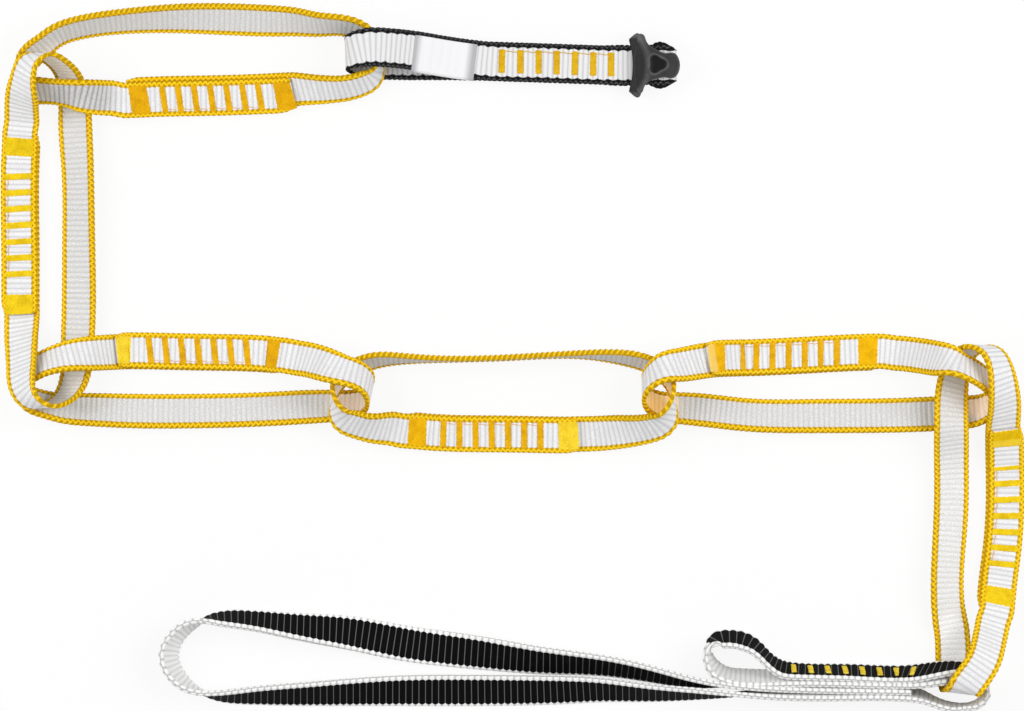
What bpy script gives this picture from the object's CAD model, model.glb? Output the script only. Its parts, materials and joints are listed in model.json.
"""Chain-type daisy chain laid out on a white table and photographed from straight above."""
import json
import math

import bpy
import numpy as np
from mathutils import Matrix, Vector


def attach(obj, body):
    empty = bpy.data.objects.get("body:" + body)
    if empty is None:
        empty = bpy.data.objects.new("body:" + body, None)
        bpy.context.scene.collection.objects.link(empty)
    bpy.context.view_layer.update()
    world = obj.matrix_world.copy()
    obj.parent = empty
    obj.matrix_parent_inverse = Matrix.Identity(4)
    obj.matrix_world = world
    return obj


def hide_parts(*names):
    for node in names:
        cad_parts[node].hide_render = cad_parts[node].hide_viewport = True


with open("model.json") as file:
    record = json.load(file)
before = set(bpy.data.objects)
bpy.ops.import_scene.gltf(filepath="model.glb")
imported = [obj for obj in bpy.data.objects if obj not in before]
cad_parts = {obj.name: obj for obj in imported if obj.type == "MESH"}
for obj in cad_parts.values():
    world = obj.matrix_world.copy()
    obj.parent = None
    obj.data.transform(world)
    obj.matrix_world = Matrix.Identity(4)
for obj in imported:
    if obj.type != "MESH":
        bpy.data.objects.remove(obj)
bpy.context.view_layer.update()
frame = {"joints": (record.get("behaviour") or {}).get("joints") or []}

# The table and the picture. The chain lies on a white sheet between two large soft boxes and is taken from
# straight above with a long lens, so it shows almost no perspective. The scale follows from the webbing,
# which is 16 mm wide and 36 pixels across, and the aim from the pixel where link_3 and link_4 meet.
PIXEL = 0.016 / 36
PICTURE_WIDTH = 1024
PICTURE_MIDDLE = np.array([512.0, 355.5])
INTERLOCK_PIXEL = np.array([352.0, 388.0])
CAMERA_HEIGHT = 5.0
CLOTH_HEIGHT = 0.008
SENSOR_WIDTH = 36.0
pivot = {j["child"]: np.array(j["pos_m"]) for j in frame["joints"] if j["type"] == "hinge"}
aim = pivot["link_3"][:2] + PIXEL * (PICTURE_MIDDLE - INTERLOCK_PIXEL) * (1, -1)
camera = bpy.data.objects.new("camera", bpy.data.cameras.new("camera"))
camera.location = (aim[0], aim[1], CAMERA_HEIGHT)
camera.data.sensor_width = SENSOR_WIDTH
camera.data.lens = SENSOR_WIDTH * (CAMERA_HEIGHT - CLOTH_HEIGHT) / (PICTURE_WIDTH * PIXEL)
camera.data.clip_end = 50.0
bpy.context.scene.collection.objects.link(camera)
bpy.context.scene.camera = camera
bpy.context.scene.view_settings.view_transform = "Standard"


def new_material(name, roughness):
    """Material, its Principled shader, and a pen that adds one node per call and returns one output of it."""
    mat = bpy.data.materials.new(name)
    mat.use_nodes = True
    tree = mat.node_tree
    shader = tree.nodes["Principled BSDF"]
    shader.inputs["Roughness"].default_value = roughness

    def pen(kind, *values, out=0, **settings):
        node = tree.nodes.new("ShaderNode" + kind)
        for key, value in settings.items():
            setattr(node, key, value)
        for socket, value in zip(node.inputs, values):
            if isinstance(value, bpy.types.NodeSocket):
                tree.links.new(value, socket)
            elif value is not None:
                socket.default_value = value
        return node.outputs[out]

    return mat, shader, pen


SHEET_HALF = 9.0
SHEET_TOP = -0.0002
sheet = bpy.data.meshes.new("table_sheet")
corners = [(x * SHEET_HALF, y * SHEET_HALF, SHEET_TOP) for x, y in ((-1, -1), (1, -1), (1, 1), (-1, 1))]
sheet.from_pydata(corners, [], [(0, 1, 2, 3)])
table = bpy.data.objects.new("table_sheet", sheet)
bpy.context.scene.collection.objects.link(table)
mat, shader, pen = new_material("white_sheet", 0.9)
shader.inputs["Base Color"].default_value = (0.90, 0.90, 0.90, 1.0)
# The camera sees the sheet as nearly plain white with a faint shadow. All other rays meet plain white paper.
seen = pen("Math", pen("LightPath"), 0.88, operation="MULTIPLY")
lit = pen("MixShader", seen, shader.outputs[0], pen("Emission", (1.0, 1.0, 1.0, 1.0), 1.0))
mat.node_tree.links.new(lit, mat.node_tree.nodes["Material Output"].inputs["Surface"])
sheet.materials.append(mat)

# Light comes evenly from everywhere, and behind the sheet the camera sees plain white.
world = bpy.data.worlds.new("studio")
bpy.context.scene.world = world
world.use_nodes = True
tree = world.node_tree
air = tree.nodes["Background"]
air.inputs["Color"].default_value = (1.0, 1.0, 1.0, 1.0)
air.inputs["Strength"].default_value = 0.45
backdrop = tree.nodes.new("ShaderNodeBackground")
backdrop.inputs["Color"].default_value = (1.0, 1.0, 1.0, 1.0)
path = tree.nodes.new("ShaderNodeLightPath")
choice = tree.nodes.new("ShaderNodeMixShader")
tree.links.new(path.outputs["Is Camera Ray"], choice.inputs[0])
tree.links.new(air.outputs[0], choice.inputs[1])
tree.links.new(backdrop.outputs[0], choice.inputs[2])
tree.links.new(choice.outputs[0], tree.nodes["World Output"].inputs["Surface"])
SOFT_BOXES = (("left_box", (-1.15, 0.25, 1.1), 1.0, 13.0), ("right_box", (1.15, 0.2, 1.1), 1.0, 13.5))
for name, place, size, power in SOFT_BOXES:
    lamp = bpy.data.lights.new(name, "AREA")
    lamp.size = size
    lamp.energy = power
    box = bpy.data.objects.new(name, lamp)
    box.location = place
    box.rotation_mode = "QUATERNION"
    box.rotation_quaternion = (-Vector(place)).to_track_quat("-Z", "Y")
    bpy.context.scene.collection.objects.link(box)

# The six loops. Each is one 16 mm strip of woven polyamide, white ribs between yellow selvedges, closed to a
# ring by lapping its two ends on the front strand, where two blocks of stitches and seven bars hold them.
WEB_WIDTH = 0.016
WEB_THICK = 0.0020
LINK_REACH = 0.1387
PICK = 0.00231
STRIP_STEP = 0.00033
# EDGE is how far the corners of a strip's section are cut back. LAP_SLIP is how far the two lapped layers lie
# beside each other, LAP_GAP the air between them, and LAP_CLIMB the way on which the outer one climbs.
EDGE = 0.0005
LAP_GAP = 0.0001
LAP_CLIMB = 0.007
LAP_SLIP = {"link_1": 0.0020, "link_2": 0.0010, "link_3": 0.0004, "link_4": 0.0004, "link_5": 0.0004,
            "link_6": 0.0012}
# The places inside the interlocks that are lit through the cloth: the interlock's child, the offset from it
# along x and y in webbing widths, the radius, the tint of the inner face, and the strength of its glow.
LENS = (("link_1", 0.61, 0.47, 0.013, (1.0, 0.94, 0.86, 1), 0.25),
        ("link_2", 1.33, 0.50, 0.013, (1.0, 0.97, 0.94, 1), 0.22),
        ("link_3", -0.06, -0.28, 0.011, (1.0, 0.86, 0.74, 1), 0.36),
        ("link_5", -0.17, -0.36, 0.011, (1.0, 0.70, 0.30, 1), 0.48),
        ("link_6", 0.4, 0.4, 0.012, (1.0, 0.78, 0.58, 1), 0.30),
        ("link_6", 0.14, -0.47, 0.008, (1.0, 0.80, 0.60, 1), 0.34),
        ("tether", -0.40, 4.30, 0.060, (1.0, 1.0, 1.0, 1), 0.12),
        ("tether", -0.36, 1.45, 0.018, (1.0, 1.0, 1.0, 1), 0.24))
LINK_ANGLE = {"link_1": 2.0, "link_2": -90.0, "link_3": 181.5, "link_4": 0.0, "link_5": 180.0, "link_6": 88.5}
LINK_START = {"link_1": "link_1", "link_2": "link_1", "link_3": "link_3", "link_4": "link_3",
              "link_5": "link_6", "link_6": "tether"}
BLOCK_LENGTH = 0.0080
# The middles of the two blocks, as fractions of the reach.
BLOCK_AT = {"link_1": (0.311, 0.789), "link_2": (0.193, 0.708), "link_3": (0.243, 0.738),
            "link_4": (0.205, 0.694), "link_5": (0.343, 0.848), "link_6": (0.323, 0.856)}
# A row gives the fraction of the loop's reach, then in webbing widths the offset along and across and the
# height of the lower edge, then the lean and turn of the strip in degrees.
STATIONS = {}
STATIONS["link_1"] = [
    (0, 0.02, -0.14, 0.35, 46), (0, 0.55, -0.21, 0.45, 46), (0, 1.1, -0.33, 0.62, 30),
    (0, 1.7, -0.43, 0.5, 12), (0.35, 0, -0.44, 0.1, 8), (0.55, 0, -0.46, 0, 8), (0.78, 0, -0.44, 0, 14),
    (1, -0.89, -0.38, 0.10, 40), (1, -0.33, -0.375, 0.18, 48), (1, 0.20, -0.28, 0.24, 50),
    (1, 0.54, -0.1, 0.24, 50), (1, 0.70, 0.3, 0.26, 52), (1, 0.56, 0.80, 0.26, 54),
    (1, 0.2, 1.13, 0.26, 58), (1, -0.33, 1.29, 0.24, 60), (1, -0.89, 1.34, 0.16, 54),
    (1, -1.44, 1.43, 0.06, 44), (0.75, 0, 1.5, 0, 35), (0.5, 0, 1.64, 0, 38), (0.25, 0, 1.6, 0, 53),
    (0, 1.1, 1.47, 0, 55), (0, 0.5, 1.27, 0, 53), (0, 0.12, 1.0, 0, 47), (0, -0.2, 0.75, 0.0, 42),
    (0, -0.40, 0.45, 0.05, 36), (0, -0.43, 0.15, 0.12, 35), (0, -0.30, -0.05, 0.22, 40),
]
STATIONS["link_2"] = [
    (0, 0.0, -0.40, 0.88, 44), (0, 0.45, -0.47, 0.58, 27), (0, 1.2, -0.50, 0.15, 10),
    (0.25, 0, -0.55, 0, 5), (0.5, 0, -0.55, 0, 5), (0.75, 0, -0.54, 0, 8), (1, -1.3, -0.48, 0.35, 30),
    (1, -0.8, -0.46, 0.62, 38), (1, -0.35, -0.42, 0.87, 43), (1, 0.0, -0.25, 0.97, 46),
    (1, 0.19, 0.05, 0.95, 46), (1, 0.15, 0.42, 0.64, 46), (1, -0.08, 0.72, 0.32, 42),
    (1, -0.38, 0.88, 0.12, 36), (1, -0.85, 0.98, 0, 30), (1, -1.6, 1.02, 0, 20), (0.75, 0, 1.04, 0, 18),
    (0.5, 0, 1.04, 0, 25), (0.25, 0, 1.0, 0, 26), (0, 1.2, 0.95, 0, 20), (0, 0.6, 0.93, 0, 26),
    (0, 0.1, 0.86, 0.1, 38), (0, -0.3, 0.70, 0.4, 44), (0, -0.58, 0.42, 0.74, 46),
    (0, -0.72, 0.1, 0.97, 46), (0, -0.60, -0.18, 1.04, 48), (0, -0.35, -0.33, 1.0, 48),
]
STATIONS["link_3"] = [
    (0, 0.33, -0.50, 1.07, 32, 3), (0, 0.9, -0.72, 0.77, 25), (0, 1.7, -0.90, 0.3, 12),
    (0.25, 0, -0.97, 0.02, 8), (0.5, 0, -1.10, 0, 6), (0.75, 0, -1.18, 0.1, 8), (1, -1.4, -1.13, 0.58, 18),
    (1, -0.8, -1.05, 0.67, 34), (1, -0.2, -0.88, 0.57, 43), (1, 0.28, -0.6, 0.40, 42),
    (1, 0.46, -0.3, 0.22, 40), (1, 0.30, 0.0, 0.06, 42), (1, -0.1, 0.18, 0.0, 42), (1, -0.6, 0.31, 0, 35),
    (1, -1.3, 0.38, 0, 26), (0.75, 0, 0.44, 0, 20), (0.5, 0, 0.51, 0, 18), (0.25, 0, 0.50, 0, 20),
    (0, 1.2, 0.47, 0, 22), (0, 0.55, 0.46, 0.0, 28), (0, -0.05, 0.42, 0.06, 36, 4),
    (0, -0.34, 0.30, 0.26, 40, 10), (0, -0.44, 0.08, 0.56, 40, 14), (0, -0.37, -0.14, 0.84, 38, 14),
    (0, -0.1, -0.34, 1.04, 35, 8),
]
STATIONS["link_4"] = [
    (0, 0.45, -1.05, 0.42, 42), (0, 1.05, -1.10, 0.22, 24), (0.25, 0, -1.21, 0.0, 8), (0.5, 0, -1.27, 0, 5),
    (0.75, 0, -1.28, 0, 8), (1, -1.2, -1.19, 0.22, 25), (1, -0.5, -1.09, 0.42, 42),
    (1, -0.08, -0.92, 0.60, 44), (1, 0.12, -0.6, 0.69, 44), (1, 0.19, -0.2, 0.60, 47),
    (1, 0.03, 0.25, 0.29, 54), (1, -0.4, 0.58, 0.04, 62), (1, -1.2, 0.79, 0, 71), (0.75, 0, 0.86, 0, 82),
    (0.5, 0, 0.78, 0, 88), (0.25, 0, 0.74, 0, 85), (0, 1.3, 0.75, 0, 77), (0, 0.55, 0.68, 0.0, 66),
    (0, -0.05, 0.40, 0.10, 56), (0, -0.43, -0.05, 0.42, 48), (0, -0.42, -0.48, 0.62, 45),
    (0, -0.22, -0.8, 0.61, 44), (0, 0.1, -0.96, 0.52, 43),
]
STATIONS["link_5"] = [
    (0, 0.58, -0.64, 1.19, 42), (0, 1.28, -0.84, 0.72, 20), (0, 2.1, -0.95, 0.22, 12),
    (0.5, 0, -0.92, 0, 6), (0.75, 0, -0.82, 0, 8), (1, -1.11, -0.76, 0.52, 14), (1, -0.44, -0.62, 0.90, 27),
    (1, 0.05, -0.50, 1.08, 35), (1, 0.34, -0.30, 0.95, 39), (1, 0.50, -0.02, 0.60, 41),
    (1, 0.41, 0.27, 0.26, 42), (1, 0.1, 0.46, 0.05, 37), (1, -0.4, 0.53, 0, 30), (1, -1.2, 0.60, 0, 25),
    (0.75, 0, 0.71, 0, 25), (0.5, 0, 0.76, 0, 20), (0.25, 0, 0.74, 0, 18), (0, 1.1, 0.70, 0, 16),
    (0, 0.4, 0.66, 0.0, 20), (0, -0.12, 0.56, 0.07, 33), (0, -0.38, 0.36, 0.22, 40),
    (0, -0.34, 0.0, 0.5, 44), (0, 0.05, -0.38, 0.94, 45),
]
STATIONS["link_6"] = [
    (0, 0.62, -0.04, 1.47, 5, 28), (0, 1.11, -0.34, 1.29, 14, 18),
    (0, 1.67, -0.51, 0.8, 20, 6), (0, 2.2, -0.62, 0.45, 16, 2), (0, 3.3, -0.74, 0.05, 8),
    (0.5, 0, -0.85, 0, 5), (0.75, 0, -0.86, 0, 6), (1, -1.17, -0.80, 0.35, 12), (1, -0.33, -0.74, 0.85, 30),
    (1, 0.22, -0.65, 1.07, 38), (1, 0.62, -0.55, 1.07, 43), (1, 0.96, -0.35, 0.90, 45),
    (1, 1.08, -0.05, 0.66, 44), (1, 0.94, 0.28, 0.29, 42), (1, 0.58, 0.5, 0.14, 36),
    (1, 0.1, 0.62, 0.22, 28), (1, -0.35, 0.66, 0.42, 20), (1, -1.0, 0.66, 0.62, 16),
    (1, -1.9, 0.62, 0.2, 16), (0.6, 0, 0.58, 0, 16), (0.25, 0, 0.53, 0, 14), (0, 1.9, 0.48, 0, 8),
    (0, 1.1, 0.42, 0, 5), (0, 0.65, 0.37, 0.0, 4), (0, 0.42, 0.32, 0.0, 4, 0), (0, 0.31, 0.28, 0.40, 4, 2),
    (0, 0.31, 0.24, 0.9, 4, 5), (0, 0.40, 0.12, 1.42, 4, 14),
]


def unit(v):
    """Rows of v scaled to length one."""
    return v / np.linalg.norm(v, axis=-1, keepdims=True)


def spline(rows, closed, count):
    """Smooth curve through the rows: a cubic between each two, timed by the straight distance between their
    first three columns, with the slopes for which the second derivative runs on through every row."""
    p = np.vstack([rows, rows[:1]]) if closed else np.array(rows)
    h = np.linalg.norm(np.diff(p[:, :3], axis=0), axis=1)
    t = np.concatenate([[0.0], np.cumsum(h)])
    rise = np.diff(p, axis=0) / h[:, None]
    m = len(h)
    if closed:
        i = np.arange(m)
        a = np.zeros((m, m))
        np.add.at(a, (i, i - 1), 1 / h[i - 1])
        np.add.at(a, (i, i), 2 / h[i - 1] + 2 / h)
        np.add.at(a, (i, (i + 1) % m), 1 / h)
        slope = np.linalg.solve(a, 3 * (rise[i - 1] / h[i - 1, None] + rise / h[:, None]))
        slope = np.vstack([slope, slope[:1]])
    else:
        before, after = h[:-1], h[1:]
        a = np.diag(np.concatenate([[2.0], 2 / before + 2 / after, [2.0]]))
        i = np.arange(1, m)
        a[i, i - 1], a[i, i + 1] = 1 / before, 1 / after
        a[0, 1], a[-1, -2] = 1.0, 1.0
        b = 3 * np.vstack([rise[:1], rise[:-1] / before[:, None] + rise[1:] / after[:, None], rise[-1:]])
        slope = np.linalg.solve(a, b)
    q = np.linspace(0.0, t[-1], count)
    k = np.clip(np.searchsorted(t, q, side="right") - 1, 0, m - 1)
    x, h = ((q - t[k]) / h[k])[:, None], h[k][:, None]
    return (p[k] * (1 + 2 * x) * (1 - x) ** 2 + p[k + 1] * x ** 2 * (3 - 2 * x)
            + slope[k] * h * x * (1 - x) ** 2 - slope[k + 1] * h * x ** 2 * (1 - x))


class Strand:
    """Middle of a strip's inner face with travel t, width direction w and outward normal n = t x w. The
    thickness grows outward. The height of each cross section is its lower edge's, and nothing goes below the
    table."""

    def __init__(self, rows, closed, width, thick, count=2400):
        r = spline(rows, closed, count)
        self.c, self.w, self.closed, self.wide = r[:, :3].copy(), r[:, 3:6].copy(), closed, width * r[:, 6]
        self.turn()
        self.c[:, 2] += thick * np.maximum(0.0, -self.n[:, 2])
        self.turn()
        low = self.lowest(thick, EDGE)
        self.c[:, 2] -= low - self.lowest(thick, 0.0)
        self.c[:, 2] -= np.minimum(self.c[:, 2] + low, 0.0)
        self.turn()
        self.s = np.concatenate([[0.0], np.cumsum(np.linalg.norm(np.diff(self.c, axis=0), axis=1))])
        self.length = self.s[-1]

    def turn(self):
        """Travel from the neighbouring points, and the width turned square to it."""
        if self.closed:
            ring = self.c[:-1]
            t = np.roll(ring, -1, 0) - np.roll(ring, 1, 0)
            self.t = unit(np.vstack([t, t[:1]]))
        else:
            self.t = unit(np.gradient(self.c, axis=0))
        self.w = unit(self.w - (self.w * self.t).sum(1)[:, None] * self.t)
        self.n = np.cross(self.t, self.w)

    def lowest(self, thick, k):
        """Depth of the lowest point of every cross section whose corners are cut back by k."""
        half = 0.5 * self.wide
        depth = []
        for across, out in ((half, k), (half - k, 0.0), (half, thick - k), (half - k, thick)):
            depth += [side * across * self.w[:, 2] + out * self.n[:, 2] for side in (-1.0, 1.0)]
        return np.min(depth, axis=0)

    def at(self, s):
        """Point, t, w, n and width at arc lengths s, going round again on a ring."""
        s = np.mod(s, self.length) if self.closed else np.asarray(s)
        fields = [np.stack([np.interp(s, self.s, f[:, i]) for i in range(3)], axis=-1)
                  for f in (self.c, self.t, self.w, self.n)]
        return (*fields, np.interp(s, self.s, self.wide))

    def nearest(self, point):
        """Arc length where the strand passes closest to a point in plan with its outer face up."""
        d = np.hypot(self.c[:, 0] - point[0], self.c[:, 1] - point[1])
        return self.s[np.argmin(np.where(self.n[:, 2] > 0, d, 9.0))]


def smooth(x):
    """Ease from 0 to 1."""
    x = np.clip(x, 0.0, 1.0)
    return x * x * (3 - 2 * x)


def bent(x, power):
    """x to a power, with its sign kept."""
    return np.sign(x) * np.abs(x) ** power


def laid(c, w, n, across, out):
    """Points on a strand at a distance across its width and a distance out from its inner face."""
    return c + across[..., None] * w + out[..., None] * n


def skin(name, points, weave, cloth, ring=False):
    """Closed tubes as one mesh: points are tubes x rings x corners x 3; corners go round each ring, rings
    follow each other along the tube, and flat caps close both ends, or the last ring joins the first. The
    material is cloth, and the weave attribute keeps each corner's place on the cloth in millimetres: along,
    across, and 0 to 1 from the inner to the outer face."""
    b, m, k = points.shape[:3]
    at = np.arange(b * m * k).reshape(b, m, k)
    here, there = (at, np.roll(at, -1, 1)) if ring else (at[:, :-1], at[:, 1:])
    quads = np.stack([here, there, np.roll(there, -1, 2), np.roll(here, -1, 2)], axis=-1).reshape(-1, 4)
    caps = at[:0, 0] if ring else np.concatenate([at[:, 0], at[:, -1, ::-1]])
    order = np.concatenate([quads.reshape(-1), caps.reshape(-1)])
    mesh = bpy.data.meshes.new(name)
    mesh.vertices.add(b * m * k)
    mesh.vertices.foreach_set("co", points.reshape(-1).astype(np.float32))
    mesh.loops.add(len(order))
    mesh.loops.foreach_set("vertex_index", order.astype(np.int32))
    mesh.polygons.add(len(quads) + len(caps))
    starts = np.concatenate([np.arange(len(quads)) * 4, quads.size + np.arange(len(caps)) * k])
    mesh.polygons.foreach_set("loop_start", starts.astype(np.int32))
    mesh.update(calc_edges=True)
    mesh.polygons.foreach_set("use_smooth", np.ones(len(mesh.polygons), bool))
    field = mesh.attributes.new("weave", "FLOAT_VECTOR", "POINT")
    field.data.foreach_set("vector", weave.reshape(-1).astype(np.float32))
    mesh.validate()
    mesh.materials.append(cloth)
    piece = bpy.data.objects.new(name, mesh)
    bpy.context.scene.collection.objects.link(piece)
    return piece


def woven_strip(strand, s, thick, lift, slip, pitch, rib_depth, band, bead_depth, bulge, narrow=0.0, faces=19,
                edges=7):
    """Strip of webbing as rings x corners. Both faces fall into a valley at every weft, by rib_depth times
    one minus |sin(pi s / pitch)|^0.6. The selvedge is a cord of beads b of the same pitch, the same sine
    slanted from face to face: it stands out from both faces by bulge times 2.2 b^0.6 - 1, and its rim is
    drawn in between two beads by bead_depth times 1 - b^0.7, more or less along the strip. A fine groove
    parts it from the ribs. The rim is half of a superellipse, (y / r)^2.6 + (z / h)^2.6 = 1."""
    c, _, w, n, wide = strand.at(s)
    hw, r = (0.5 * wide - narrow)[:, None], 0.5 * thick
    share = bent(np.linspace(-1, 1, faces), 0.8)
    a = np.linspace(0.5 * math.pi, -0.5 * math.pi, edges + 2)[1:-1]
    rim, up = bent(np.cos(a), 2 / 2.6), bent(np.sin(a), 2 / 2.6)
    across = np.concatenate([share, np.ones(edges), share[::-1], -np.ones(edges)])
    beyond = np.concatenate([0 * share, rim, 0 * share, rim[::-1]])
    level = np.concatenate([0 * share + 1, up, 0 * share - 1, up[::-1]])
    y = across * (hw - r) + np.sign(across) * beyond * r
    mm = 1000 * s[:, None] + 0.0 * y
    arch = np.abs(np.sin(math.pi * mm / (1000 * pitch)))
    core = 1 - smooth((np.abs(y) - (hw - band - 0.0003)) / 0.0006)
    skew = np.abs(np.sin(math.pi * (mm / (1000 * pitch) + 0.22 * level + 0.12 * np.sign(y))))
    channel = 0.00012 * np.exp(-((np.abs(y) - (hw - band)) / 0.0003) ** 2)
    out = (1 - core) * bulge * (2.2 * skew ** 0.6 - 1) - core * rib_depth * (1 - arch ** 0.6) - channel
    z = r + level * (r + out)
    uneven = 0.75 + 0.35 * np.sin(0.83 * mm + 2.0 * np.sign(y) + 1.7 * np.sin(0.31 * mm))
    y = y - np.sign(y) * beyond * bead_depth * (1 - skew ** 0.7) * uneven
    points = laid(c[:, None], w[:, None], n[:, None], y + slip[:, None], z + lift[:, None])
    points[..., 2] -= np.minimum(points[..., 2].min(axis=1), 0.0)[:, None]
    weave = np.stack([mm, 1000 * y, 0.5 + 0.5 * level + 0 * y], axis=-1)
    return points[None], weave[None]


def link_strand(key):
    """Ring of one loop: its rows turned to the loop's direction and set on its first interlock."""
    st = np.array([(*row, 0.0)[:6] for row in STATIONS[key]])
    lean, turn = np.radians(st[:, 4]), np.radians(st[:, 5])
    wide = np.stack([np.cos(lean) * np.sin(turn), np.cos(lean) * np.cos(turn), np.sin(lean)], axis=1)
    z = st[:, 3] * WEB_WIDTH + 0.5 * WEB_WIDTH * np.abs(np.sin(lean))
    a = math.radians(LINK_ANGLE[key])
    spin = np.array([[math.cos(a), math.sin(a), 0], [-math.sin(a), math.cos(a), 0], [0, 0, 1]])
    place = np.column_stack([st[:, 0] * LINK_REACH + st[:, 1] * WEB_WIDTH, st[:, 2] * WEB_WIDTH, z]) @ spin
    place[:, :2] += pivot[LINK_START[key]][:2]
    return Strand(np.column_stack([place, wide @ spin, np.ones(len(st))]), True, WEB_WIDTH, WEB_THICK)


def cloth_coordinates(pen):
    """Along, across and face sockets of the weave attribute."""
    return pen("SeparateXYZ", pen("Attribute", out=1, attribute_name="weave")).node.outputs


def times(pen, a, b):
    """Product of two values."""
    return pen("Math", a, b, operation="MULTIPLY")


def noise(pen, vector, scale, detail):
    """Cloudy value around 0.5, finer with a larger scale."""
    return pen("TexNoise", vector, None, scale, detail)


def waves(pen, value, pitch, power=1.0):
    """|sin(pi value / pitch)| to a power: one arch for each thread."""
    arch = pen("Math", times(pen, value, math.pi / pitch), operation="SINE")
    return pen("Math", pen("Math", arch, operation="ABSOLUTE"), power, operation="POWER")


def zigzag(pen, along, edge, pitch, middle, swing, inside, outside):
    """1 on a cord that swings by |swing| mm about its middle line once per pitch, 0 beside it."""
    turn = times(pen, along, 2 * math.pi / pitch)
    line = pen("Math", pen("Math", turn, operation="SINE"), swing, middle, operation="MULTIPLY_ADD")
    off = pen("Math", pen("Math", edge, line, operation="SUBTRACT"), operation="ABSOLUTE")
    return pen("MapRange", off, outside, inside)


def yarn_bump(pen, across, rib, fuzz, pitch, strength):
    """Bump of the warp yarns, one arch each, on the ribs, with some fuzz over them."""
    yarn = times(pen, waves(pen, across, pitch), rib)
    height = pen("Math", yarn, times(pen, fuzz, 1.2), operation="ADD")
    return pen("Bump", strength, 0.0001, None, height)


def paint(mat, tone, bump, sheen):
    """Colour, bump and the strength of the highlight put on a material's shader."""
    shader = mat.node_tree.nodes["Principled BSDF"]
    mat.node_tree.links.new(tone, shader.inputs["Base Color"])
    mat.node_tree.links.new(bump, shader.inputs["Normal"])
    shader.inputs["Specular IOR Level"].default_value = sheen


def link_cloth():
    """White ribbed core between yellow selvedges, each a bright zigzag cord over darker gaps. The inner face
    is a little plainer and speckled. In the places of LENS it's tinted and glows a little, for the light that
    comes through the thin strip. The first fold of link_1 is grey with handling."""
    mat, shader, pen = new_material("link_cloth", 0.8)
    along, across, face = cloth_coordinates(pen)
    pick = 1000 * PICK
    edge = pen("Math", across, operation="ABSOLUTE")
    spread = times(pen, across, 2.0)
    fuzz = noise(pen, pen("CombineXYZ", along, spread, face), 1.3, 3.0)
    # The selvedge begins at the lip, which swings with the picks.
    lip = pen("Math", waves(pen, along, pick), 0.35, 4.60, operation="MULTIPLY_ADD")
    lip = pen("Math", fuzz, 0.7, lip, operation="MULTIPLY_ADD")
    band = pen("MapRange", pen("Math", edge, lip, operation="SUBTRACT"), 0.15, 0.45)
    outer = pen("MapRange", face, 0.35, 0.65)
    cloud = noise(pen, pen("CombineXYZ", along, across, face), 0.12, 2.0)
    each = noise(pen, pen("CombineXYZ", along, 0.0, face), 0.45, 2.0)
    rib = waves(pen, along, pick, 0.7)
    worn = times(pen, rib, pen("MapRange", fuzz, 0.30, 0.55, 0.5, 1.0))
    front = pen("MixRGB", worn, (0.58, 0.58, 0.60, 1), (0.93, 0.93, 0.93, 1))
    speck = times(pen, pen("MapRange", fuzz, 0.36, 0.60), rib)
    back = pen("MixRGB", speck, (0.60, 0.60, 0.59, 1), (0.90, 0.90, 0.89, 1))
    place = pen("VectorMath", pen("TexCoord", out=3), (1.0, 1.0, 0.0), operation="MULTIPLY")
    through = 0.0
    for child, dx, dy, radius, tint, light in LENS:
        spot = (pivot[child][0] + dx * WEB_WIDTH, pivot[child][1] + dy * WEB_WIDTH, 0.0)
        away = pen("VectorMath", place, spot, operation="DISTANCE", out=1)
        near = pen("MapRange", away, radius, 0.6 * radius)
        back = pen("MixRGB", near, back, tint, blend_type="MULTIPLY")
        through = pen("Math", near, light, through, operation="MULTIPLY_ADD")
    fold = (pivot["link_1"][0] + 1.17 * WEB_WIDTH, pivot["link_1"][1] - 0.36 * WEB_WIDTH, 0.0)
    away = pen("VectorMath", place, fold, operation="DISTANCE", out=1)
    handled = pen("MapRange", away, 0.019, 0.010, 0.0, 0.9)
    grey = pen("MixRGB", worn, (0.22, 0.22, 0.22, 1), (0.72, 0.71, 0.70, 1))
    front = pen("MixRGB", handled, front, grey)
    core = pen("MixRGB", outer, back, front)
    core = pen("MixRGB", pen("MapRange", each, 0.45, 0.75, 0.0, 0.30), core, (0.62, 0.62, 0.65, 1))
    core = pen("MixRGB", pen("MapRange", cloud, 0.45, 0.75, 0.0, 0.20), core, (0.66, 0.66, 0.69, 1))
    slanted = pen("Math", face, 0.9, along, operation="MULTIPLY_ADD")
    bead = zigzag(pen, slanted, edge, pick, middle=6.9, swing=0.60, inside=0.40, outside=0.85)
    gold = pen("MixRGB", bead, (0.54, 0.31, 0.001, 1), (0.96, 0.59, 0.004, 1))
    shine = times(pen, pen("MapRange", fuzz, 0.48, 0.70), bead)
    gold = pen("MixRGB", shine, gold, (0.98, 0.74, 0.05, 1))
    tone = pen("MixRGB", band, core, gold)
    paint(mat, tone, yarn_bump(pen, across, rib, fuzz, 0.42, 0.45), 0.12)
    inner = pen("MapRange", outer, 1.0, 0.0)
    inside = times(pen, inner, pen("MapRange", band, 1.0, 0.0))
    glow = times(pen, inside, through)
    mat.node_tree.links.new(glow, shader.inputs["Emission Strength"])
    mat.node_tree.links.new(back, shader.inputs["Emission Color"])
    return mat


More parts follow.
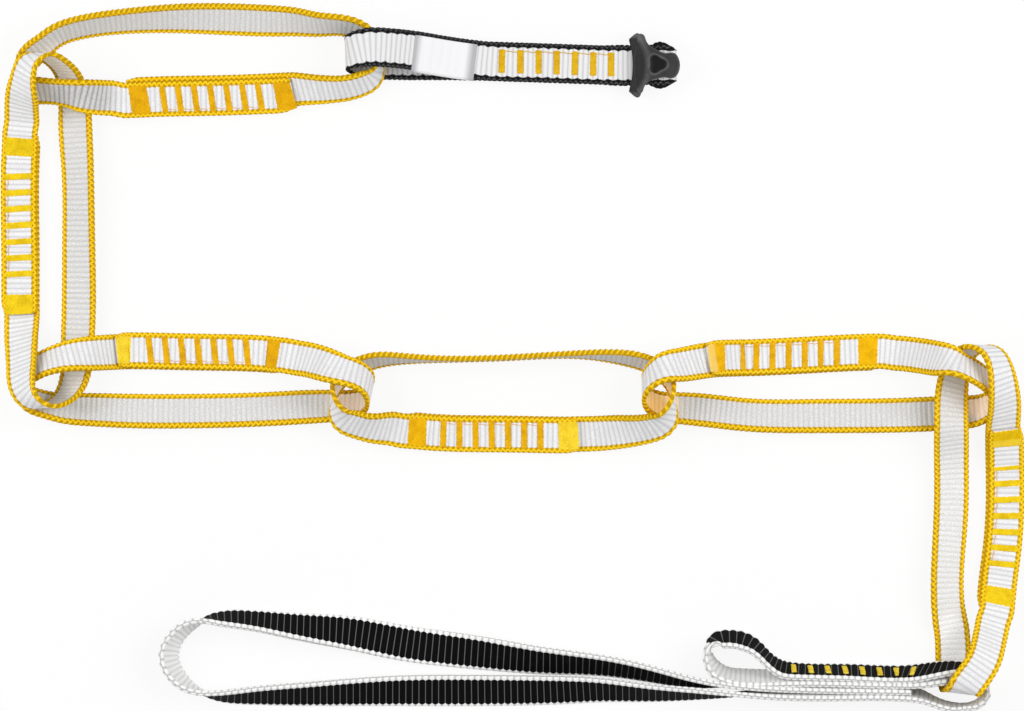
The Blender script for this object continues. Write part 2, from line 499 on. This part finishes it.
def thread_cloth(name, dark, light, pitch=0.45, pale_side=0.0, sparse=0.24):
    """Sewing thread lying side by side, running along the strip, a little lighter here and there. A pale_side
    of 1 or -1 thins the stitches out ahead of or behind the middle, where the webbing shows between them.
    There sparse is the blue that the white adds."""
    mat, shader, pen = new_material(name, 0.6)
    along, across, face = cloth_coordinates(pen)
    slant = pen("Math", times(pen, along, 0.08), across, operation="ADD")
    thread = waves(pen, slant, pitch, 0.8)
    stretched = pen("CombineXYZ", times(pen, along, 0.4), across, 0.0)
    fuzz = noise(pen, stretched, 2.0, 3.0)
    cloud = noise(pen, pen("TexCoord", out=3), 260.0, 2.0)
    tone = times(pen, thread, pen("MapRange", cloud, 0.3, 0.6))
    tone = pen("MixRGB", tone, (*dark, 1), (*light, 1))
    pale = (1.0, min(1.0, 1.25 * light[1] + 0.02), 6 * light[2] + 0.01)
    tone = pen("MixRGB", pen("MapRange", fuzz, 0.52, 0.78), tone, (*pale, 1))
    if pale_side:
        beside = times(pen, along, pale_side)
        thin = pen("MapRange", beside, 0.3, 1.1, 0.0, 0.75)
        bare = pen("MixRGB", thread, (0.90, 0.56, 0.3 * sparse, 1), (0.96, 0.73, sparse, 1))
        tone = pen("MixRGB", thin, tone, bare)
    paint(mat, tone, pen("Bump", 0.4, 0.0001, None, thread), 0.06)
    return mat


def satin(strand, middles, half_length, low, high, base, height, lean=0.0, ragged=1.0, corners=22,
          pitch=0.00045, step=0.00011):
    """Satin stitch pads as tubes laid across the strip from low to high, one ring every step. A ring is a
    flat superellipse along the strip; each thread raises it by the arch |sin(pi y / pitch)|, the thread ends
    reach a little more or less far, and lean slants the pad."""
    y = np.arange(low, high, step)
    a = np.linspace(0, 2 * math.pi, corners, endpoint=False)
    x0 = bent(np.cos(a), 0.45)
    z0 = bent(np.sin(a), 0.55)
    m = np.asarray(middles)
    place = 1000 * m[:, None]
    arch = np.abs(np.sin(math.pi * y / pitch))
    end = np.minimum(1.0, np.minimum(y - low, high - y) / 0.0005 + 0.3) ** 0.5
    ends = [0.00016 * np.sin(y / 0.00037 + place + k) + 0.00012 * np.sin(y / 0.00011 + 2.3 * place + 5 * k)
            + 0.00010 * np.sin(y / 0.0009 + 1.7 * place + 3 * k) for k in (0, 1)]
    ends = [half_length + ragged * e[..., None] for e in ends]
    reach = np.where(x0 > 0, ends[0], ends[1])
    x = x0 * reach * end[:, None] + lean * (y - 0.5 * (low + high))[:, None]
    up = np.maximum(z0, 0) * (height * (0.72 + 0.28 * arch) * end)[:, None] + np.minimum(z0, 0) * 0.0003
    c, _, w, n, _ = strand.at(m[:, None, None] + x)
    points = laid(c, w, n, y[:, None] + 0 * x, base + up + 0 * x)
    weave = np.stack([1000 * x, 1000 * y[:, None] + 0 * x, z0 + 0 * x], axis=-1)
    return points[:, :, ::-1], weave[:, :, ::-1]


def jump_threads(strand, starts, ends, across, base, radius=0.00016):
    """Loose thread from one pad to the next: a thin tube that bows up a little between its ends."""
    u = np.linspace(0, 1, 9)
    s = np.asarray(starts)[:, None] + (np.asarray(ends) - np.asarray(starts))[:, None] * u
    c, _, w, n, _ = strand.at(s)
    a = np.linspace(0, 2 * math.pi, 6, endpoint=False)
    same = 0 * s[..., None]
    rise = base + 0.0002 * np.sin(math.pi * u)[None, :, None] + radius * np.sin(a) + same
    y = across + 0.0002 * np.sin(2 * math.pi * u)[None, :, None] - radius * np.cos(a) + same
    points = laid(c[:, :, None], w[:, :, None], n[:, :, None], y, rise)
    weave = np.stack([1000 * s[..., None] + 0 * y, 1000 * y, 1 + 0 * y], axis=-1)
    return points, weave


yellow_cloth = link_cloth()
orange = thread_cloth("block_thread_orange", (0.66, 0.33, 0.001), (0.88, 0.47, 0.003))
amber = thread_cloth("block_thread_amber", (0.74, 0.38, 0.001), (0.96, 0.54, 0.003))
lemon = thread_cloth("block_thread_lemon", (0.84, 0.54, 0.01), (0.98, 0.73, 0.030))
thin_ahead = thread_cloth("block_thread_thin_ahead", (0.72, 0.37, 0.001), (0.96, 0.53, 0.003), pale_side=1.0)
thin_behind = thread_cloth("block_thread_thin_behind", (0.68, 0.42, 0.001), (0.92, 0.59, 0.004),
                           pale_side=-1.0, sparse=0.06)
gold = thread_cloth("block_thread_gold", (0.72, 0.47, 0.002), (0.95, 0.67, 0.010))
bar_thread = thread_cloth("bar_thread", (0.64, 0.32, 0.001), (0.90, 0.50, 0.004))
loose_thread = thread_cloth("loose_thread", (0.80, 0.42, 0.10), (0.93, 0.60, 0.28))
BAR_SPACING = 0.0072
STITCH_HEIGHT = 0.00050
STITCH_SINK = 0.00015
BLOCK_LEAN = {"link_1": (-0.14, -0.08), "link_3": (0.0, 0.03), "link_4": (-0.11, -0.03),
              "link_5": (0.0, 0.12)}
BAR_LEAN = {"link_1": -0.12, "link_2": -0.06, "link_3": -0.13, "link_4": -0.03, "link_5": 0.06,
            "link_6": -0.05}
THREAD = {"link_2_bars": gold, "link_2_start": gold, "link_2_end": gold, "link_3_end": lemon,
          "link_4_start": amber, "link_4_end": lemon, "link_5_start": amber, "link_5_end": thin_ahead,
          "link_6_bars": gold, "link_6_start": gold, "link_6_end": thin_behind}
for key in sorted(STATIONS):
    strand = link_strand(key)
    a = math.radians(LINK_ANGLE[key])
    ahead, right = np.array([math.cos(a), math.sin(a)]), np.array([math.sin(a), -math.cos(a)])
    front = pivot[LINK_START[key]][:2]
    first, last = [strand.nearest(front + f * LINK_REACH * ahead + WEB_WIDTH * right) for f in BLOCK_AT[key]]
    # The strip goes once round and on over its own start. Near its end the outer layer draws back a little.
    s0, s1 = first - 0.5 * BLOCK_LENGTH - 0.0010, last + 0.5 * BLOCK_LENGTH + 0.0002
    lap = strand.length + s0 - 0.0012
    s = np.arange(s0, strand.length + s1, STRIP_STEP)
    climb = smooth((s - (lap - LAP_CLIMB)) / LAP_CLIMB)
    close = 0.6 * smooth((s - (strand.length + s1 - 0.009)) / 0.009)
    slip = 0.5 * LAP_SLIP[key] * (1 - smooth((s - s1) / 0.014) - climb + close)
    ends = np.minimum(s - s0, strand.length + s1 - s)
    # The selvedge stands out fully where the strip is single and well away from every interlock, and from the
    # bend beside the one of link_1 and link_2, where link_3 comes close when it swings.
    free = smooth((s - s1 - 0.010) / 0.010) * smooth((lap - 0.010 - s) / 0.010)
    tight = [*pivot.values(), pivot["link_2"] + 0.026]
    reach = [np.hypot(*(strand.at(s)[0][:, :2] - spot[:2]).T) for spot in tight]
    free = free * smooth((np.min(reach, axis=0) - 0.012) / 0.008)
    points, weave = woven_strip(strand, s, WEB_THICK, (WEB_THICK + LAP_GAP) * climb, slip, PICK,
                                rib_depth=0.00018, band=0.0022, bead_depth=0.00036,
                                bulge=(0.00008 + 0.00024 * free)[:, None],
                                narrow=0.0009 * (1 - smooth(ends / 0.005)))
    piece = skin(key + "_cloth", points, weave, yellow_cloth)
    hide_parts(key + "_webbing")
    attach(piece, key)
    top = 2 * WEB_THICK + LAP_GAP - STITCH_SINK
    mid = -0.5 * LAP_SLIP[key]
    leans = BLOCK_LEAN.get(key, (0.0, 0.0))
    for which, at, lean in (("start", first, leans[0]), ("end", last, leans[1])):
        points, weave = satin(strand, [at], half_length=0.0045, low=mid - 0.0063, high=mid + 0.0063, base=top,
                              height=STITCH_HEIGHT, lean=lean, ragged=0.7, corners=40)
        piece = skin(key + "_block_" + which, points, weave, THREAD.get(key + "_" + which, orange))
        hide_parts(key + "_block_tack_" + which)
        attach(piece, key)
    bars = 0.5 * (first + last) + BAR_SPACING * (np.arange(7) - 3)
    points, weave = satin(strand, bars, half_length=0.00138, low=mid - 0.0062, high=mid + 0.0062, base=top,
                          height=STITCH_HEIGHT, lean=BAR_LEAN[key], ragged=0.45)
    piece = skin(key + "_bars", points, weave, THREAD.get(key + "_bars", bar_thread))
    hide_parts(key + "_bar_tacks")
    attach(piece, key)
    side = 1 if key in ("link_3", "link_4", "link_6") else -1
    points, weave = jump_threads(strand, bars[:-1] + 0.0011, bars[1:] - 0.0011, across=mid + side * 0.0046,
                                 base=top + 0.0002)
    piece = skin(key + "_jumps", points, weave, loose_thread)
    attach(piece, key)

# The end sling. A strip of white ribbed webbing with black selvedges is hooked through the first loop. Its
# two ends are sewn between its layers by a row of bar tacks, and the far fold is the carabiner's eye.
SLING_WIDTH = 0.0176
SLING_THICK = 0.0020
SLING_REACH = 0.1440
SLING_PICK = 0.00224
SLING_STEP = 0.00034
PIECE_GAP = 0.0003
# A row gives the fraction of the sling's reach, then in webbing widths the offset along and across and the
# height, then the lapped layers below, the turn in degrees, and the gather of the width.
SLING_STATIONS = [
    (0, 3.64, 0.347, 0, 1, 2, 1), (0.58, 0.0, 0.292, 0, 1, 2, 1), (1, -2.11, 0.233, 0, 1, 0, 1),
    (1, -1.06, 0.222, 0.13, 0, 0, 1), (1, -0.67, 0.222, 0.11, 0, 0, 1), (1, -0.5, 0.222, 0.05, 0, 0, 1.15),
    (1, -0.31, 0.222, 0.0, 0, 0, 1.13), (1, -0.17, 0.222, 0.03, 0, 0, 1.0),
    (1, -0.1, 0.222, 0.26, 0, 0, 0.82), (1, -0.19, 0.222, 0.42, 0, 0, 1.0),
    (1, -0.44, 0.222, 0.425, 0, 0, 1.2), (1, -0.69, 0.222, 0.37, 0, 0, 1.05),
    (1, -1.06, 0.222, 0.335, 0, 0, 1), (1, -1.56, 0.222, 0.29, 0, 0, 1), (1, -2.11, 0.233, 0, 2, 0, 1),
    (0.58, 0.0, 0.292, 0, 2, 2, 1), (0, 3.72, 0.347, 0, 2, 2, 1), (0, 3.22, 0.403, 0.03, 1.4, 4, 1),
    (0, 2.58, 0.486, 0.31, 1, 4, 1), (0, 1.67, 0.625, 0.76, 1, 4, 1), (0, 0.92, 0.694, 1.08, 1, 2, 1),
    (0, 0.36, 0.686, 1.16, 1, -2, 0.98), (0, 0.03, 0.597, 1.02, 1, -2, 0.9),
    (0, -0.06, 0.51, 0.66, 0, -2, 0.81), (0, 0.01, 0.486, 0.18, 0, 0, 0.86),
    (0, 0.22, 0.431, 0.0, 0, 2, 0.92), (0, 0.92, 0.375, 0, 0, 1, 1), (0, 2.17, 0.361, 0, 0, 0, 1),
    (0, 3.56, 0.347, 0, 0, 1, 1), (0.58, 0.0, 0.292, 0, 0, 2, 1), (1, -1.81, 0.228, 0, 0, 1, 1),
]


def sling_cloth():
    """White ribs with a black woven border whose inner rim runs in scallops."""
    mat, shader, pen = new_material("sling_cloth", 0.75)
    along, across, face = cloth_coordinates(pen)
    pick = 1000 * SLING_PICK
    edge = pen("Math", across, operation="ABSOLUTE")
    outer = pen("MapRange", face, 0.35, 0.65)
    spread = times(pen, across, 3.0)
    fuzz = noise(pen, pen("CombineXYZ", along, spread, 0.0), 1.2, 3.0)
    lip = pen("Math", waves(pen, along, 2 * pick), 0.6, 5.35, operation="MULTIPLY_ADD")
    lip = pen("Math", fuzz, 1.4, lip, operation="MULTIPLY_ADD")
    band = pen("MapRange", pen("Math", edge, lip, operation="SUBTRACT"), -0.12, 0.12)
    rib = waves(pen, along, pick, 0.7)
    front = pen("MixRGB", rib, (0.52, 0.52, 0.54, 1), (0.88, 0.88, 0.88, 1))
    back = pen("MixRGB", rib, (0.40, 0.40, 0.41, 1), (0.75, 0.75, 0.76, 1))
    core = pen("MixRGB", outer, back, front)
    core = pen("MixRGB", times(pen, fuzz, 0.25), core, (0.60, 0.60, 0.62, 1))
    slanted = pen("Math", face, 0.9, along, operation="MULTIPLY_ADD")
    bead = zigzag(pen, slanted, edge, pick, middle=8.1, swing=0.5, inside=0.2, outside=0.5)
    bead = times(pen, bead, pen("MapRange", fuzz, 0.40, 0.62))
    black = pen("MixRGB", bead, (0.005, 0.005, 0.006, 1), (0.13, 0.13, 0.135, 1))
    tone = pen("MixRGB", band, core, black)
    paint(mat, tone, yarn_bump(pen, across, rib, fuzz, 0.42, 0.5), 0.12)
    return mat


st = np.array(SLING_STATIONS)
turn = np.radians(st[:, 5])
place = np.column_stack([pivot["sling"][0] + st[:, 0] * SLING_REACH + st[:, 1] * WEB_WIDTH,
                         pivot["sling"][1] + st[:, 2] * WEB_WIDTH,
                         st[:, 3] * WEB_WIDTH + st[:, 4] * (SLING_THICK + PIECE_GAP),
                         -np.sin(turn), -np.cos(turn), 0 * turn, st[:, 6]])
sling = Strand(place, False, SLING_WIDTH, SLING_THICK)
s = np.arange(0.0, sling.length, SLING_STEP)
points, weave = woven_strip(sling, s, SLING_THICK, 0 * s, 0 * s, SLING_PICK, rib_depth=0.00018, band=0.0018,
                            bead_depth=0.00075, bulge=0.00010)
piece = skin("sling_cloth", points, weave, sling_cloth())
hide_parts("sling_webbing")
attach(piece, "sling")


def on_sling(distance):
    """Arc length on the sling's upper layer at a distance along from the first interlock."""
    return sling.nearest((pivot["sling"][0] + distance, pivot["sling"][1] + 0.3 * WEB_WIDTH))


# Seven bar tacks through the sling's three layers, yellow thread, with the thread that jumps between them.
FIRST_BAR = 0.0773
SLING_BAR_SPACING = 0.0081
SEAM_SINK = 0.00012
bars = np.array([on_sling(SLING_REACH - (FIRST_BAR - i * SLING_BAR_SPACING)) for i in range(7)])
base = SLING_THICK - SEAM_SINK
points, weave = satin(sling, bars, half_length=0.00140, low=-0.0056, high=0.0050, base=base,
                      height=STITCH_HEIGHT, lean=-0.02, ragged=0.4)
sling_thread = thread_cloth("sling_thread", (0.60, 0.34, 0.004), (0.80, 0.49, 0.009))
piece = skin("sling_bars", points, weave, sling_thread)
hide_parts("sling_bar_tacks")
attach(piece, "sling")
points, weave = jump_threads(sling, bars[1:] + 0.0012, bars[:-1] - 0.0012, across=-0.0047, base=base + 0.0002)
piece = skin("sling_jumps", points, weave, sling_thread)
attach(piece, "sling")

# The label. A smooth white coated strip, bare on both sides, is folded over the sling's lower selvedge and
# caught in the seam.
FOLD_IN = 0.0006
FOLD_OUTER = 0.0013
FOLD_INNER = 0.0009
s = np.linspace(on_sling(0.382 * SLING_REACH), on_sling(0.180 * SLING_REACH), 120)
c, _, w, n, _ = sling.at(s)
half = 0.5 * SLING_WIDTH
bend = np.linspace(0.5 * math.pi, -0.15 * math.pi, 9)
flat = np.linspace(-half + 0.0019, half - FOLD_IN, 30)
y = np.concatenate([flat, half - FOLD_IN + FOLD_OUTER * np.cos(bend),
                    half - FOLD_IN + FOLD_INNER * np.cos(bend[::-1]), flat[::-1]])
fold = SLING_THICK + 0.0005 - FOLD_OUTER
z = np.concatenate([0 * flat + fold + FOLD_OUTER, fold + FOLD_OUTER * np.sin(bend),
                    fold + FOLD_INNER * np.sin(bend[::-1]), 0 * flat + fold + FOLD_INNER])
share = np.linspace(0, 1, len(s))[:, None]
wave = 0.00005 * np.sin(2 * math.pi * s / 0.0045)[:, None]
wave = wave + 0.00005 * np.sin(2 * math.pi * s / 0.011 + 1)[:, None]
wave = wave - 0.0003 * (1 - smooth(np.minimum(share, 1 - share) / 0.07))
points = laid(c[:, None], w[:, None], n[:, None], y + 0 * wave, z + wave)
weave = np.stack([1000 * s[:, None] + 0 * (y + wave), 1000 * y + 0 * wave, share + 0 * y], axis=-1)
mat, shader, pen = new_material("label_coated", 0.5)
along, across, end = cloth_coordinates(pen)
fine = times(pen, waves(pen, along, 0.5), waves(pen, across, 0.5))
cloud = noise(pen, pen("CombineXYZ", along, across, 0.0), 0.35, 2.0)
tone = times(pen, cloud, fine)
tone = pen("MixRGB", tone, (0.84, 0.84, 0.86, 1), (0.92, 0.92, 0.93, 1))
shade = times(pen, pen("MapRange", end, 0.05, 0.17), pen("MapRange", end, 0.97, 0.88))
tone = pen("MixRGB", shade, (0.44, 0.44, 0.46, 1), tone)
paint(mat, tone, pen("Bump", 0.25, 0.00008, None, pen("Math", fine, cloud, operation="ADD")), 0.5)
piece = skin("sling_label_cloth", points[None], weave[None], mat)
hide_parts("sling_label")
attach(piece, "sling")

# The rubber keeper. A moulded black rubber collar grips the sling's layers and has flared ears at both sides.
# On it sits a pad with a plain three-sided dish and a tab over the eye. All in mm from the eye's crown.
crown = np.array([pivot["sling"][0] + SLING_REACH, pivot["sling"][1] + 0.222 * WEB_WIDTH, 0.0])


def superellipse(a, power):
    """Cosine and sine of a, bent towards a rectangle by the power."""
    return bent(np.cos(a), 2 / power), bent(np.sin(a), 2 / power)


# The rubber is darkest where its wear is below 0, in the dish and round the sling, and grey where it's
# rubbed.
rubber, shader, pen = new_material("keeper_rubber", 0.5)
place = pen("TexCoord", out=3)
wear = cloth_coordinates(pen)[2]
grain = noise(pen, place, 1600.0, 3.0)
cloud = noise(pen, place, 220.0, 3.0)
tone = pen("MixRGB", cloud, (0.026, 0.026, 0.027, 1), (0.050, 0.050, 0.052, 1))
tone = pen("MixRGB", pen("MapRange", wear, 0.0, -1.0), tone, (0.009, 0.009, 0.009, 1))
worn = pen("Math", wear, 0.0, operation="MAXIMUM")
worn = times(pen, worn, pen("MapRange", cloud, 0.2, 0.5))
tone = pen("MixRGB", worn, tone, (0.13, 0.13, 0.13, 1))
paint(rubber, tone, pen("Bump", 0.3, 0.0001, None, grain), 0.12)

# The collar: at every angle round the sling, the section p, q spans from the hole to the ears' outline.
HOLE_HALF = (9.5, 3.15)
HOLE_MIDDLE = 4.8
round_a = np.linspace(0, 2 * math.pi, 144, endpoint=False)
section_a = np.linspace(0, 2 * math.pi, 28, endpoint=False)
fy, fz = superellipse(round_a, 10.0)
q, p = superellipse(section_a[::-1], 3.5)
p = 0.5 + 0.5 * p
flare = smooth((q + 1) / 1.7)
inner = np.stack([HOLE_HALF[0] * fy, HOLE_MIDDLE + HOLE_HALF[1] * fz], axis=-1)[:, None]
gy, gz = superellipse(round_a, 4.2)
ear = (12.1 + 2.4 * flare[None]) * gy[:, None]
top = 5.3 + (5.25 + 0.75 * q[None] * (gz[:, None] > 0)) * gz[:, None]
outer = np.stack([ear, np.maximum(top, 0.02)], axis=-1)
vz = inner + p[None, :, None] * (outer - inner)
bow = (np.abs(vz[..., 0]) / 12.3) ** 2
u = -16.7 - 1.6 * bow + (2.5 + 0.4 * bow) * q
points = crown + 0.001 * np.stack([u, vz[..., 0], vz[..., 1]], axis=-1)
wear = 1.3 * smooth((np.abs(vz[..., 0]) - 10.8) / 2.5) * smooth((vz[..., 1] - 7.0) / 2.0) - 0.45
weave = np.stack([u, vz[..., 0], wear], axis=-1)
collar = skin("keeper_collar", points[None], weave[None], rubber, ring=True)

# The pad: rings between its heart and its outline, first over the top and then back underneath. Its crest
# falls off towards the ears and both ends, and the dish is cut into it.
DISH_AT = (-8.4, 0.4)
rim = np.array([(1.8, -0.2), (1.2, 3.0), (-0.4, 5.2), (-2.6, 5.5), (-5.0, 5.3), (-7.4, 6.2), (-9.8, 7.5),
                (-11.6, 8.7), (-13.2, 10.8), (-14.6, 13.7), (-16.0, 14.0), (-17.6, 10.0), (-18.4, 5.0),
                (-18.6, 0.0), (-18.4, -5.0), (-17.8, -9.5), (-16.6, -12.6), (-15.4, -12.4), (-14.2, -10.0),
                (-12.6, -7.8), (-10.4, -6.6), (-7.6, -5.9), (-4.8, -5.4), (-2.4, -5.9), (-0.6, -5.5),
                (1.2, -3.2)])
edge = spline(np.column_stack([rim, 0 * rim[:, 0]]), True, 193)[:-1, :2]
heart = np.array([-12.6, 0.3])
round_off = 0.94 + 0.06 * np.sin(np.linspace(0.2, 1, 7) * 0.5 * math.pi)
f = np.concatenate([np.linspace(0.01, 0.94, 56), round_off])
layers = np.concatenate([f, f[::-1]])[:, None, None]
plan = heart + layers * (edge - heart)[None]
x, y = plan[..., 0], plan[..., 1]
crest = 11.35 - 0.12 * np.maximum(np.abs(y) - 7.5, 0) ** 1.5 - 0.9 * smooth((x + 4.5) / 6.5)
crest = crest - 0.5 * smooth((-15.2 - x) / 3)
crest = crest + 0.40 * np.exp(-((x + 12.0 + 0.030 * y ** 2) / 1.3) ** 2)
turn = np.arctan2(y - DISH_AT[1], x - DISH_AT[0])
away = np.hypot(x - DISH_AT[0], y - DISH_AT[1])
dish = smooth((3.9 * (1 + 0.16 * np.cos(3 * turn)) - away) / 1.1)
lip = np.exp(-((4.3 * (1 + 0.15 * np.cos(3 * turn)) - away) / 0.45) ** 2)
face = crest - 0.75 * dish + 0.12 * lip
under = np.arange(2 * len(f)) >= len(f)
fall = 0.8 * (1 - np.sqrt(np.maximum(0.0, 1 - np.clip((layers[..., 0] - 0.94) / 0.06, 0, 1) ** 2)))
z = np.where(under[:, None], crest - 1.65 + 0.4 * smooth((x + 6.5) / 2) + 0.8 * fall, face - fall)
points = crown + 0.001 * np.stack([x, y, z], axis=-1)
ridge = 0.5 * np.exp(-((x + 11.9 + 0.030 * y ** 2) / 1.2) ** 2) + 0.5 * smooth((np.abs(y) - 8.5) / 4.0)
wear = np.maximum(np.maximum(0.6 * smooth((layers[..., 0] - 0.92) / 0.06), 0.7 * lip), ridge)
wear = (wear - dish - 0.45 * smooth((-13.4 - 0.030 * y ** 2 - x) / 1.2)) * ~under[:, None]
pad = skin("keeper_pad", points[None], np.stack([x, y, wear], axis=-1)[None], rubber)
for piece in (collar, pad):
    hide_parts("carabiner_keeper")
    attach(piece, "keeper")

# The tether. One long strip of 16 mm webbing, black ribbed on its outer face and white inside and along both
# selvedges, stands on its edge: an eye round the last loop, a small grip loop and a long harness loop.
TETHER_WIDTH = 0.016
TETHER_THICK = 0.0025
TETHER_REACH = 0.3591
TETHER_PICK = 0.00293
TETHER_STEP = 0.00043
# A row gives the fraction of the tether's reach, then in webbing widths the offset along and across and the
# height of the lower edge, then where the width points: an angle across the chain, or a direction.
TETHER_STATIONS = [
    (0, 1.58, -0.45, 0, -112), (0, 3.28, -0.475, 0, -112), (0, 5.22, -0.503, 0, -108),
    (0, 6.33, -0.494, 0, -96), (0, 7.44, -0.542, 0, -80), (0, 8.83, -0.8, 0, -66), (0, 10.22, -1.028, 0, -57),
    (0.53, 0, -1.153, 0, -42), (0.604, 0, -1.333, 0, -22), (0.703, 0, -1.583, 0, 3),
    (0.765, 0, -1.819, 0, 22), (0.827, 0, -1.967, 0, 45), (0.889, 0, -2.139, 0, 62),
    (1, -1.53, -2.167, 0, 77), (1, -0.89, -2.014, 0, (0.1, -0.2, 0.97)),
    (1, -0.47, -1.667, 0, (0.32, -0.2, 0.92)), (1, -0.31, -1.222, 0, (0.45, 0.0, 0.88)),
    (1, -0.47, -0.778, 0, (0.36, 0.18, 0.92)), (1, -0.92, -0.389, 0, (0.16, 0.1, 0.98)),
    (1, -1.53, -0.208, 0, 100), (0.889, 0, -0.192, 0, 115), (0.827, 0, -0.225, 0, 127),
    (0.765, 0, -0.269, 0, 137), (0.703, 0, -0.297, 0, 146), (0.641, 0, -0.3, 0, 149),
    (0.567, 0, -0.306, 0, 146), (0.505, 0, -0.325, 0, 140), (0, 10.22, -0.339, 0, 130),
    (0, 8.83, -0.272, 0, 116), (0, 7.44, -0.244, 0, 103), (0, 6.33, -0.236, 0, 90), (0, 5.22, -0.261, 0, 75),
    (0, 3.28, -0.289, 0, 68), (0, 1.75, -0.269, 0, 68), (0, 1.28, -0.167, 0, 74), (0, 0.83, 0.014, 0, 80),
    (0, 0.42, 0.125, 0.0, 82), (0, 0.06, 0.117, 0.03, 86), (0, -0.25, -0.014, 0.14, (-0.08, 0.04, 0.99)),
    (0, -0.38, -0.25, 0.28, (-0.1, 0, 0.99)), (0, -0.31, -0.5, 0.4, (-0.1, 0.0, 0.99)),
    (0, -0.08, -0.694, 0.44, (0.02, 0.12, 0.99)), (0, 0.22, -0.806, 0.42, 77), (0, 0.64, -0.797, 0.37, 72),
    (0, 1.06, -0.733, 0.26, 69), (0, 1.56, -0.661, 0.08, 68), (0, 3.28, -0.686, 0, 68),
    (0, 4.81, -0.728, 0, 68), (0, 5.19, -0.792, 0, 66), (0, 5.64, -1.097, 0, 66), (0, 6.0, -1.431, 0, 64),
    (0, 6.33, -1.583, 0, 64), (0, 6.67, -1.625, 0, 66), (0, 6.97, -1.569, 0, 70),
    (0, 7.14, -1.389, 0, (0.12, 0.05, 0.99)), (0, 7.12, -1.139, 0, (0.22, 0.1, 0.97)),
    (0, 6.96, -0.903, 0, (0.2, 0.3, 0.93)), (0, 6.67, -0.75, 0, 68), (0, 6.19, -0.678, 0, 66),
    (0, 5.22, -0.669, 0, 68), (0, 3.28, -0.661, 0, 68), (0, 1.61, -0.636, 0.08, 68),
    (0, 1.11, -0.672, 0.26, 68), (0, 0.75, -0.714, 0.345, 70), (0, 0.56, -0.731, 0.38, 71),
]


def tether_cloth():
    """Black ribs parted by fine grey lines on the outer face, white beaded selvedges, white ribbed inside."""
    mat, shader, pen = new_material("tether_cloth", 0.7)
    along, across, face = cloth_coordinates(pen)
    pick = 1000 * TETHER_PICK
    edge = pen("Math", across, operation="ABSOLUTE")
    rib = waves(pen, along, pick, 0.5)
    lip = pen("Math", waves(pen, along, pick), 0.7, 5.95, operation="MULTIPLY_ADD")
    outer = pen("MapRange", face, 0.80, 0.92)
    spread = times(pen, across, 3.0)
    fuzz = noise(pen, pen("CombineXYZ", along, spread, 0.0), 1.4, 3.0)
    ribbed = pen("MapRange", rib, 0.30, 0.55)
    black = pen("MixRGB", ribbed, (0.135, 0.135, 0.14, 1), (0.004, 0.004, 0.0045, 1))
    fine = waves(pen, along, 2.2, 0.7)
    white = pen("MixRGB", fine, (0.64, 0.64, 0.64, 1), (0.90, 0.90, 0.89, 1))
    half = pen("Math", pen("MapRange", face, 0.42, 0.58), 0.5 * pick, along, operation="MULTIPLY_ADD")
    off = pen("Math", pen("Math", face, 0.5, operation="SUBTRACT"), operation="ABSOLUTE")
    parted = pen("MapRange", off, 0.0, 0.16)
    bead = times(pen, waves(pen, half, pick, 0.6), parted)
    bead = times(pen, bead, pen("MapRange", fuzz, 0.25, 0.50, 0.6, 1.0))
    pearl = pen("MixRGB", pen("MapRange", bead, 0.15, 0.85), (0.48, 0.48, 0.48, 1), (0.95, 0.95, 0.94, 1))
    rim = pen("MapRange", pen("Math", edge, lip, operation="SUBTRACT"), -0.1, 0.1)
    inside = pen("MixRGB", pen("MapRange", edge, 6.2, 6.5), white, pearl)
    upper = pen("MixRGB", rim, black, pearl)
    tone = pen("MixRGB", outer, inside, upper)
    paint(mat, tone, yarn_bump(pen, across, rib, fuzz, 0.45, 0.5), 0.04)
    return mat


place = []
for fraction, along, across, foot, lean in TETHER_STATIONS:
    if not isinstance(lean, tuple):
        lean = (0.0, math.cos(math.radians(lean)), math.sin(math.radians(lean)))
    lean = np.array(lean) / np.linalg.norm(lean)
    height = foot * WEB_WIDTH + 0.5 * TETHER_WIDTH * abs(lean[2])
    place.append((pivot["tether"][0] - fraction * TETHER_REACH - along * WEB_WIDTH,
                  pivot["tether"][1] - across * WEB_WIDTH, height, -lean[0], -lean[1], lean[2], 1.0))
tether = Strand(np.array(place), False, TETHER_WIDTH, TETHER_THICK, 4000)
s = np.arange(0.0, tether.length, TETHER_STEP)
points, weave = woven_strip(tether, s, TETHER_THICK, 0 * s, 0 * s, TETHER_PICK, rib_depth=0.00022,
                            band=0.0015, bead_depth=0.00040, bulge=0.00008, faces=15)
piece = skin("tether_cloth", points, weave, tether_cloth())
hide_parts("tether_webbing")
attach(piece, "tether")

# Eight bar tacks through the four layers beside the grip loop. Their ends show as short marks on the black.
dense = np.linspace(0.6 * tether.length, tether.length, 4000)
c, _, _, n, _ = tether.at(dense)
wanted = pivot["tether"][0] - 1.50 * WEB_WIDTH - 0.00765 * np.arange(8)
bars = dense[np.argmin(np.where(n[:, 1] > 0.5, np.abs(c[:, 0] - wanted[:, None]), 9.0), axis=1)]
points, weave = satin(tether, bars, half_length=0.00115, low=-0.0042, high=0.0042,
                      base=TETHER_THICK - SEAM_SINK, height=STITCH_HEIGHT, lean=-0.08, ragged=0.5)
tether_thread = thread_cloth("tether_thread", (0.62, 0.42, 0.01), (0.90, 0.68, 0.05))
piece = skin("tether_bars", points, weave, tether_thread)
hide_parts("tether_bar_tacks")
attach(piece, "tether")
